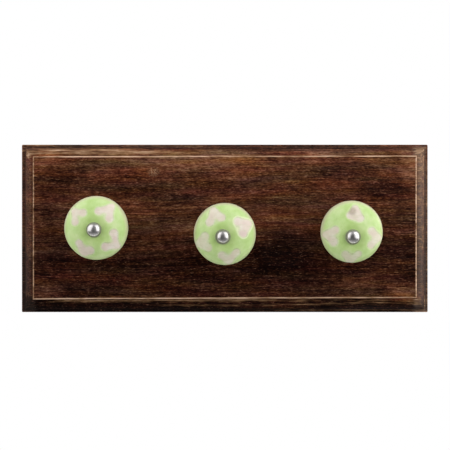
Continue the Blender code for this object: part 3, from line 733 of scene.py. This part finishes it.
def make_board(wood, raw):
    rng = np.random.default_rng(SEED)
    profile = moulding_profile()
    across = side_fractions(ACROSS_STEPS, 2 * HALF_WIDTH)
    up = side_fractions(UP_STEPS, 2 * HALF_HEIGHT)
    rings = moulding_rings(profile, across, up)
    first, second = len(across) - 1, len(across) + len(up) - 2
    at = moulding_zones(rings, profile, corner_distance(rings, (0, first, second, second + first)))
    shades = {"wear": board_wear_and_sheen(at), "tone": board_tone_and_shade(at), "dust": board_dust_and_sheen(at)}
    # The arris is a little uneven, as a hand-rubbed edge is.
    uneven = smooth_random(rng, np.arange(rings.shape[1]) * 2 * MM, ARRIS_WAVE_LENGTH)
    arris = np.exp(-((profile[:, 4] + FRONT_Y) / (0.3 * MM)) ** 2) * (profile[:, 3] < 0.3 * MM)
    rings[..., 1] += arris[:, None] * np.clip(uneven, -0.3, 1.0) * ARRIS_WAVE
    row_total, column_total = rings.shape[:2]
    index = np.arange(row_total * column_total).reshape(row_total, column_total)
    field, inner = field_grid(rings[-1], index[-1, 0], index.size, len(across), len(up))
    faces = quads(np.pad(index, ((0, 0), (0, 1)), "wrap")) + [tuple(range(column_total))] + quads(field)
    points = np.concatenate([rings.reshape(-1, 3), inner])
    mesh = bpy.data.meshes.new("rack_board")
    mesh.from_pydata(points.tolist(), [], faces)
    plain = np.zeros(len(inner))
    shades = {label: np.concatenate([values.reshape(-1), plain]) for label, values in shades.items()}
    shades["tone"] += stain_patches(points[:, 0], points[:, 2])
    set_attributes(mesh, shades)
    face_outwards(mesh)
    board = add_object("rack_board", mesh, (0.0, 0.0, BOARD_CENTRE.z))
    cutters = board_cutters()
    for piece in (board, *cutters):
        piece.data.materials.append(wood)
        piece.data.materials.append(raw)
    for cutter in cutters:
        cutter.data.polygons.foreach_set("material_index", [1] * len(cutter.data.polygons))
    boolean(board, cutters)
    shade(board.data, 40.0)
    board.data.transform(board.matrix_world)
    board.location = (0.0, 0.0, 0.0)
    bpy.context.view_layer.update()
    place(board, None, "rack", "stained_wood", "board")


def board_cutters():
    """Everything cut into the back: bolt holes, counterbores and the hanger plates' seats."""
    cutters = []
    for side in SIDES:
        at = AXES["knob_" + side]
        spot = (at.x, 0.0, at.z)
        cutters.append(prism("bolt_hole_" + side, circle(BOLT_HOLE_RADIUS, 40),
                             FRONT_Y - MM, MM, spot))
        cutters.append(prism("counterbore_" + side, circle(COUNTERBORE_RADIUS, 72),
                             -COUNTERBORE_DEPTH, MM, spot))
    for side in ("left", "right"):
        low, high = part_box("hanger_plate_" + side)
        x = (low.x + high.x) / 2
        half = (high.x - low.x) / 2 + GAP
        seat = rounded_rectangle(half, low.z - GAP, high.z + GAP, 1.2 * MM)
        cutters.append(prism("seat_" + side, seat, -PLATE_SEAT_DEPTH, MM, (x, 0.0, 0.0)))
        cutters.append(prism("pocket_" + side, slot_outline(POCKET_RADIUS, -KEYHOLE_DROP, 0.0),
                             -POCKET_DEPTH, -PLATE_SEAT_DEPTH / 2, (x, 0.0, 0.0)))
    return cutters


def rounded_rectangle(half, low, high, corner):
    points = []
    for cx, cz, start in ((half - corner, high - corner, 0), (corner - half, high - corner, 90),
                          (corner - half, low + corner, 180), (half - corner, low + corner, 270)):
        for angle in np.radians(start) + quarter_turn(7):
            points.append((cx + corner * math.cos(angle), cz + corner * math.sin(angle)))
    return points


# ---- Knobs ----
def knob_shape(side):
    """Largest radius of a knob and how far its bulge is off the bolt, from the CAD node's box."""
    low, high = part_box("knob_" + side)
    axis = AXES["knob_" + side]
    middle = (low + high) / 2
    radius = ((high.x - low.x) + (high.z - low.z)) / 4
    return radius, (middle.x - axis.x, middle.z - axis.z)


def ceramic_front(radius, largest):
    dome = np.sqrt(np.clip(1.0 - (radius / largest) ** CERAMIC_FULLNESS, 0.0, 1.0))
    dish = np.exp(-((radius / DIMPLE_RADIUS) ** 4))
    return CERAMIC_EQUATOR + (CERAMIC_CREST - CERAMIC_EQUATOR) * dome - DIMPLE_DEPTH * dish


def ceramic_back(fraction, largest):
    handles = np.array([(largest, CERAMIC_EQUATOR),
                        (largest, CERAMIC_EQUATOR - CERAMIC_BACK_SWELL),
                        (CERAMIC_NECK, CERAMIC_BACK + CERAMIC_NECK_RISE),
                        (CERAMIC_NECK, CERAMIC_BACK + 0.4 * MM)])
    rest = 1.0 - fraction
    weights = (rest ** 3, 3 * rest ** 2 * fraction, 3 * rest * fraction ** 2, fraction ** 3)
    return tuple(np.dot(weights, handles))


def ceramic_profile(largest):
    floor = float(ceramic_front(DIMPLE_FLOOR_RADIUS, largest))
    edge = 0.4 * MM
    profile = [(BOLT_HOLE_RADIUS, floor - edge)]
    profile += arc((BOLT_HOLE_RADIUS + edge, floor - edge), edge, 180, 90, EDGE_STEPS)[1:]
    profile += [(r * MM, floor) for r in (3.4, 4.2)]
    first = math.asin(DIMPLE_FLOOR_RADIUS / largest)
    for angle in np.linspace(first, math.pi / 2, 90, endpoint=False):
        radius = largest * math.sin(angle)
        profile.append((radius, float(ceramic_front(radius, largest))))
    profile += [ceramic_back(fraction, largest) for fraction in np.linspace(0, 1, 42)]
    profile += arc((CERAMIC_NECK - edge, CERAMIC_BACK + edge), edge, 0, -90, EDGE_STEPS)[1:]
    profile += [(5.0 * MM, CERAMIC_BACK), (BOLT_HOLE_RADIUS + edge, CERAMIC_BACK)]
    profile += [(BOLT_HOLE_RADIUS, CERAMIC_BACK + edge)]
    return profile


def taper_distance(points, start, end, start_radius, end_radius):
    """Distance from points to a rounded bar that widens from start to end; negative inside."""
    along = end - start
    share = np.clip(((points - start) @ along) / (along @ along), 0.0, 1.0)
    nearest = start + share[..., None] * along
    return (np.linalg.norm(points - nearest, axis=-1)
            - (start_radius + share * (end_radius - start_radius)))


def polar(distance, degrees):
    angle = math.radians(degrees)
    return np.array([distance * math.cos(angle), distance * math.sin(angle)])


def heart_distance(flat, heart):
    """Distance to a heart: two strokes from its point to its lobes, melted together."""
    near, far = (taper_distance(flat, polar(heart.point[1] * MM, heart.point[0]),
                                polar(lobe[1] * MM, lobe[0]), HEART_POINT, heart.stroke * MM)
                 for lobe in (heart.first, heart.second))
    melt = heart.melt * MM
    overlap = np.clip(1.0 - np.abs(near - far) / melt, 0.0, 1.0)
    return np.minimum(near, far) - overlap ** 2 * melt / 4


def make_ceramic(side, material):
    largest, off_centre = knob_shape(side)
    points = revolve(ceramic_profile(largest), KNOB_COLUMNS)
    radius = np.hypot(points[..., 0], points[..., 2])
    share = np.clip((radius - CERAMIC_NECK) / (largest - CERAMIC_NECK), 0.0, 1.0)
    blend = share * share * (3.0 - 2.0 * share)
    points[..., 0] += off_centre[0] * blend
    points[..., 2] += off_centre[1] * blend
    flat = points[..., [0, 2]]
    distances = np.array([heart_distance(flat, heart) for heart in HEARTS[side]])
    heart = distances.min(axis=0)
    nearest = distances.argmin(axis=0)
    bare = np.array([one.bare for one in HEARTS[side]])[nearest]
    halo = np.array([one.halo for one in HEARTS[side]])[nearest]
    behind = np.clip(CERAMIC_EQUATOR + points[..., 1], 0.0, None)
    heart += 2.0 * behind                # no heart reaches round the back
    sunk = 1.0 / (1.0 + np.exp(np.clip(heart / (HEART_EDGE / 4), -40, 40)))
    heaped = np.exp(-((heart - HEART_EDGE) / HEART_EDGE) ** 2)
    outward = np.gradient(points, axis=0)
    sideways = np.roll(points, -1, axis=1) - np.roll(points, 1, axis=1)
    normal = np.cross(outward, sideways)
    normal /= np.linalg.norm(normal, axis=-1, keepdims=True) + 1e-12
    points = points + normal * (heaped * HEART_RIM - sunk * HEART_RECESS)[..., None]
    grime = np.zeros_like(radius)
    if side == "right":
        reach = np.linalg.norm(flat - polar(*SMUDGE_PLACE), axis=-1) / SMUDGE_RADIUS
        grime = 0.8 * np.exp(-reach ** 4)
    mesh = grid_mesh("ceramic_knob_" + side, points,
                     {"heart": heart, "bare": bare, "halo": halo, "grime": grime,
                      "spread": radius / largest - behind / GLAZE_TURN})
    shade(mesh, 50.0)
    knob = add_object("ceramic_knob_" + side, mesh, AXES["knob_" + side])
    place(knob, material, "knob_" + side, "green_glaze", "knob_" + side)


def turned_piece(name, side, profile, columns, material, slot, node):
    mesh = grid_mesh(name, revolve(profile, columns))
    shade(mesh, 40.0)
    place(add_object(name, mesh, AXES["knob_" + side]), material, "rack", slot, node)


def out_span(node):
    """Lowest and highest height of a CAD node above the board's front face."""
    low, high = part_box(node)
    return FRONT_Y - high.y, FRONT_Y - low.y


def make_bolt(side, material):
    """Domed head and shank; the last stretch of the shank carries a rolled thread."""
    tip, top = out_span("bolt_" + side)
    head, height, shank = HEAD_RADIUS[side], 3.0 * MM, 2.0 * MM
    ball, shoulder = 5.6 * MM, 1.5 * MM
    under = top - height
    reach = math.asin((head - shoulder) / (ball - shoulder))
    axis_gap = 0.001 * MM
    profile = [(ball * math.sin(a) + axis_gap, top - ball * (1 - math.cos(a)))
               for a in np.linspace(0.0, reach, 26)]
    shoulder_height = top - ball + (ball - shoulder) * math.cos(reach)
    profile += arc((head - shoulder, shoulder_height), shoulder, 90 - math.degrees(reach), 0, 10)[1:]
    profile += arc((head - 0.15 * MM, under + 0.15 * MM), 0.15 * MM, 0, -90, EDGE_STEPS)
    profile += [(shank + 0.1 * MM, under), (shank, under - 0.1 * MM)]
    pitch, depth = 0.7 * MM, 0.3 * MM
    thread_top = -7.0 * MM
    profile += [(shank, thread_top + 2 * MM), (shank, thread_top)]
    rows = np.arange(thread_top, tip + 0.4 * MM, -pitch / 8)
    profile += [(shank, height_now) for height_now in rows]
    profile += [(shank - 0.5 * MM, tip), (axis_gap, tip)]
    points = revolve(profile, 64)
    heights = -points[..., 1]
    turn = np.arctan2(points[..., 2], points[..., 0]) / (2 * math.pi)
    phase = np.mod(heights / pitch + turn, 1.0)
    fade = np.clip((thread_top - heights) / MM, 0.0, 1.0) * np.clip((heights - tip) / (0.3 * MM), 0, 1)
    shrink = 1.0 - fade * depth / shank * (1.0 - np.abs(2.0 * phase - 1.0))
    on_shank = np.hypot(points[..., 0], points[..., 2]) > shank * 0.9
    points[..., 0] *= np.where(on_shank, shrink, 1.0)
    points[..., 2] *= np.where(on_shank, shrink, 1.0)
    mesh = grid_mesh("dome_bolt_" + side, points)
    shade(mesh, 40.0)
    bolt = add_object("dome_bolt_" + side, mesh, AXES["knob_" + side])
    place(bolt, material, "rack", "polished_steel", "bolt_" + side)


def ferrule_profile(low, high):
    waist, foot, rim = 6.0 * MM, 11.6 * MM, 7.4 * MM
    wall = 1.5 * MM
    waist_height, foot_height = high - 3.0 * MM, low + 1.0 * MM
    profile = [(BOLT_HOLE_RADIUS, high)]
    profile += arc((rim - 0.35 * MM, high - 0.35 * MM), 0.35 * MM, 90, -60, 10)
    profile += [(waist + 0.45 * MM, high - 1.0 * MM), (waist + 0.2 * MM, high - 1.35 * MM)]
    profile += arc((waist + 0.15 * MM, high - 1.8 * MM), 0.35 * MM, 60, -60, 8)
    for angle in quarter_turn(24):
        profile.append((waist + (foot - 0.4 * MM - waist) * (1 - math.cos(angle)),
                        waist_height + (foot_height - waist_height) * math.sin(angle)))
    profile += arc((foot - 0.5 * MM, (low + foot_height) / 2), 0.5 * MM, 80, -80, 8)
    for angle in quarter_turn(16)[::-1]:
        profile.append((waist - wall + (foot - waist) * (1 - math.cos(angle)),
                        waist_height + (low - waist_height) * math.sin(angle)))
    profile += [(waist - wall, high - wall), (BOLT_HOLE_RADIUS, high - wall)]
    return profile


def make_nut(side, material):
    low, high = out_span("hex_nut_" + side)
    corner = NUT_ACROSS_FLATS / math.sqrt(3.0)
    nut = prism("lock_nut_" + side, circle(corner, 6), -high, -low)
    chamfer = 0.45 * MM
    outside, flat = corner + 0.05 * MM, corner - chamfer * 1.6
    body = [(CENTRE, high), (flat, high), (outside, high - chamfer),
            (outside, low + chamfer), (flat, low), (CENTRE, low)]
    crown = add_object("crown", grid_mesh("crown", revolve(body, 72)))
    boolean(nut, [crown], "INTERSECT")
    boolean(nut, [prism("bore", circle(2.1 * MM, 40), -high - MM, -low + MM)])
    shade(nut.data, 25.0)
    nut.location = AXES["knob_" + side]
    place(nut, material, "rack", "zinc_steel", "hex_nut_" + side)


def make_washer(name, node, side, bore, rim, edge, material, slot):
    low, high = out_span(node + side)
    profile = rounded_ring(bore, rim, low, high, edge)
    turned_piece(name + side, side, profile, 72, material, slot, node + side)


def make_knob(side, glaze, polished, zinc, rubber):
    make_ceramic(side, glaze)
    make_bolt(side, polished)
    # The head washer's rim shows round the head; its olive colour also paints the shade there.
    make_washer("head_washer_", "front_washer_", side, 2.3 * MM, 4.6 * MM, 0.3 * MM, rubber,
                "dark_rubber")
    make_washer("neck_gasket_", "rear_gasket_", side, 2.6 * MM, 6.6 * MM, 0.4 * MM, rubber,
                "dark_rubber")
    low, high = out_span("ferrule_" + side)
    turned_piece("flared_ferrule_" + side, side, ferrule_profile(low, high), 96, polished,
                 "polished_steel", "ferrule_" + side)
    make_washer("steel_washer_", "back_washer_", side, 2.3 * MM, 6.0 * MM, 0.2 * MM, zinc,
                "zinc_steel")
    make_nut(side, zinc)


# ---- Hanger plates ----
def keyhole_outline(entry, slot, drop):
    """Entry hole below a narrower slot whose end centre is at height 0."""
    meet = math.asin(slot / entry)
    arch = [(slot * math.cos(a), slot * math.sin(a)) for a in np.linspace(0.0, math.pi, 17)]
    hole = [(entry * math.cos(a), -drop + entry * math.sin(a))
            for a in np.linspace(math.pi / 2 + meet, 2.5 * math.pi - meet, 41)]
    return arch + hole


def make_plate(side, material):
    low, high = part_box("hanger_plate_" + side)
    x = (low.x + high.x) / 2
    edge = 0.2 * MM
    curve = bpy.data.curves.new("plate_outline", "CURVE")
    curve.dimensions = "2D"
    curve.fill_mode = "BOTH"
    curve.extrude = (high.y - low.y) / 2 - edge
    curve.bevel_depth = edge
    curve.bevel_resolution = 2
    curve.offset = -edge
    half = (high.x - low.x) / 2
    for outline in (rounded_rectangle(half, low.z, high.z, 2.2 * MM),
                    keyhole_outline(4.6 * MM, 2.3 * MM, KEYHOLE_DROP)):
        spline = curve.splines.new("POLY")
        spline.points.add(len(outline) - 1)
        for point, (across, up) in zip(spline.points, outline):
            point.co = (across, up, 0.0, 1.0)
        spline.use_cyclic_u = True
    drawn = add_object("plate_curve", curve, (x, (low.y + high.y) / 2, 0.0))
    drawn.rotation_euler = (math.pi / 2, 0.0, 0.0)
    mesh = evaluated_mesh(drawn)
    mesh.transform(drawn.matrix_world)
    bpy.data.objects.remove(drawn, do_unlink=True)
    face_outwards(mesh, merge=0.005 * MM)
    plate = add_object("keyhole_plate_" + side, mesh)
    sinks = []
    for end in ("top", "bottom"):
        screw_low, screw_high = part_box(f"plate_screw_{side}_{end}")
        z = (screw_low.z + screw_high.z) / 2
        cone = [(CENTRE, -1.0 * MM), (3.6 * MM, -1.0 * MM), (3.6 * MM, 0.0),
                (3.3 * MM, 0.05 * MM), (2.0 * MM, 1.4 * MM), (2.0 * MM, 3.0 * MM),
                (CENTRE, 3.0 * MM)]
        sink = add_object("sink_" + end, grid_mesh("sink", revolve(cone, 48)), (x, high.y, z))
        sinks.append(sink)
    boolean(plate, sinks)
    shade(plate.data, 30.0)
    place(plate, material, "rack", "zinc_steel", "hanger_plate_" + side)


def make_plate_screw(side, end, material):
    node = f"plate_screw_{side}_{end}"
    low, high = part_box(node)
    centre = ((low.x + high.x) / 2, high.y, (low.z + high.z) / 2)
    head, shank, neck, length = 3.0 * MM, 1.4 * MM, 1.7 * MM, high.y - low.y
    profile = [(CENTRE, 0.0)]
    profile += arc((head - 0.12 * MM, 0.12 * MM), 0.12 * MM, -90, 30, EDGE_STEPS)
    profile += [(shank, neck), (shank, length - 2.2 * MM), (CENTRE, length)]
    name = f"wood_screw_{side}_{end}"
    screw = add_object(name, grid_mesh(name, revolve(profile, 64)), centre)
    turn = math.radians({"top": 20.0, "bottom": 65.0}[end] + {"left": 0.0, "right": 33.0}[side])
    recess = []
    for extra in (0.0, math.pi / 2):
        bar = []
        for u, v in ((-1.7, -0.36), (1.7, -0.36), (1.7, 0.36), (-1.7, 0.36)):
            angle = turn + extra
            bar.append(((u * math.cos(angle) - v * math.sin(angle)) * MM,
                        (u * math.sin(angle) + v * math.cos(angle)) * MM))
        recess.append(prism("recess", bar, -1.1 * MM, 1.0 * MM, centre))
    boolean(screw, recess)
    shade(screw.data, 30.0)
    place(screw, material, "rack", "zinc_steel", node)


# ---- Stage ----
CAMERA_DISTANCE = 880.0 * MM        # from the lip of the board
VIEW_WIDTH = 281.56 * MM            # width of the view at the lip
CAMERA_OFFSET = (0.13 * MM, 2.12 * MM)
SENSOR = 36.0
# Soft lights aimed at the board's centre: azimuth and elevation in degrees, where azimuth 0 is
# straight in front and 90 is at +X, then distance and size in metres, and power in watts.
SOFTBOXES = {
    "key": (57.0, 22.0, 1.2, (1.3, 1.8), 16.5), "fill": (-59.0, 22.0, 1.2, (1.3, 1.7), 12.0),
    "low": (0.0, -58.0, 1.2, (2.4, 0.7), 2.2),
    "rim_right": (99.0, 4.0, 1.1, (0.28, 1.2), 2.8), "rim_left": (-99.0, 4.0, 1.1, (0.28, 1.2), 2.2),
    "back_right": (140.0, 32.0, 1.4, (1.2, 1.0), 14.0),
    "back_left": (-146.0, 32.0, 1.4, (1.2, 1.0), 10.0),
}
# The floor is an oval below and behind the board, with two lights above it that face down.
FLOOR_HALF_WIDTH, FLOOR_HALF_DEPTH, FLOOR_Y, FLOOR_DROP = 4.4, 2.4, 2.0, 1.1
FLOOR_LIGHT_X, FLOOR_LIGHT_Y, FLOOR_LIGHT_DROP = 2.7, 2.6, 0.55
FLOOR_LIGHT_SIZE, FLOOR_LIGHT_POWER = (3.4, 4.4), 27.0


def make_camera():
    data = bpy.data.cameras.new("camera")
    data.sensor_width = SENSOR
    data.lens = SENSOR * CAMERA_DISTANCE / VIEW_WIDTH
    at = (BOARD_CENTRE.x + CAMERA_OFFSET[0], -LIP_DEPTH - CAMERA_DISTANCE,
          BOARD_CENTRE.z + CAMERA_OFFSET[1])
    camera = add_object("camera", data, at)
    camera.rotation_euler = (math.pi / 2, 0.0, 0.0)
    bpy.context.scene.camera = camera


def make_area_light(name, size, power):
    data = bpy.data.lights.new(name, "AREA")
    data.shape = "RECTANGLE"
    data.size, data.size_y = size
    data.energy = power
    return add_object(name, data)


def make_lights():
    for name, (azimuth, elevation, distance, size, power) in SOFTBOXES.items():
        light = make_area_light(name, size, power)
        a, e = math.radians(azimuth), math.radians(elevation)
        toward = Vector((math.sin(a) * math.cos(e), -math.cos(a) * math.cos(e), math.sin(e)))
        light.location = BOARD_CENTRE + toward * distance
        light.rotation_euler = toward.to_track_quat("Z", "Y").to_euler()
    for name, x in (("floor_right", FLOOR_LIGHT_X), ("floor_left", -FLOOR_LIGHT_X)):
        light = make_area_light(name, FLOOR_LIGHT_SIZE, FLOOR_LIGHT_POWER)
        light.location = (x, FLOOR_LIGHT_Y, BOARD_CENTRE.z - FLOOR_LIGHT_DROP)


def make_world():
    """White behind the object, and a dimmer room for everything that lights or reflects."""
    world = bpy.data.worlds.new("studio")
    m = Nodes(world)
    m.nodes.clear()
    lightness = m.node("MapRange", 0, {"Value": m.height(m.node("TexCoord", "Generated", {})),
                                       "From Min": 0.2, "From Max": 1.0, "To Min": 0.09, "To Max": 0.5})
    room = m.node("Background", 0, {"Color": (1.0, 1.0, 1.0), "Strength": lightness})
    paper = m.node("Background", 0, {"Color": (1.0, 1.0, 1.0), "Strength": 1.0})
    camera_ray = m.node("LightPath", "Is Camera Ray", {})
    seen = m.node("MixShader", 0, {0: camera_ray, 1: room, 2: paper})
    m.put(m.nodes.new("ShaderNodeOutputWorld").inputs[0], seen)
    bpy.context.scene.world = world


def make_floor():
    m = Shade("pale_floor")
    grain = m.noise(3.0, 3.0)
    m.surface(m.ramp(grain, ((0.3, (0.86, 0.86, 0.85)), (0.7, (0.90, 0.90, 0.89)))), 0.9)
    mesh = bpy.data.meshes.new("floor")
    turn = np.linspace(0, 2 * math.pi, 96, endpoint=False)
    rim = [(FLOOR_HALF_WIDTH * math.cos(a), FLOOR_Y + FLOOR_HALF_DEPTH * math.sin(a),
            BOARD_CENTRE.z - FLOOR_DROP) for a in turn]
    mesh.from_pydata(rim, [], [tuple(range(len(rim)))])
    mesh.materials.append(m.material)
    add_object("floor", mesh)


def main():
    bpy.context.scene.view_settings.view_transform = "Standard"
    wood, raw = wood_material(), raw_wood_material()
    polished = metal_material("polished_steel", (0.56, 0.54, 0.53), (0.47, 0.455, 0.455), 0.35,
                              0.01 * MM)
    zinc = metal_material("zinc_steel", (0.62, 0.62, 0.60), (0.46, 0.46, 0.45), 0.34, 0.03 * MM)
    rubber = rubber_material()
    make_board(wood, raw)
    for side in SIDES:
        make_knob(side, glaze_material(side), polished, zinc, rubber)
    for side in ("left", "right"):
        make_plate(side, zinc)
        for end in ("top", "bottom"):
            make_plate_screw(side, end, zinc)
    make_camera()
    make_world()
    make_lights()
    make_floor()


main()
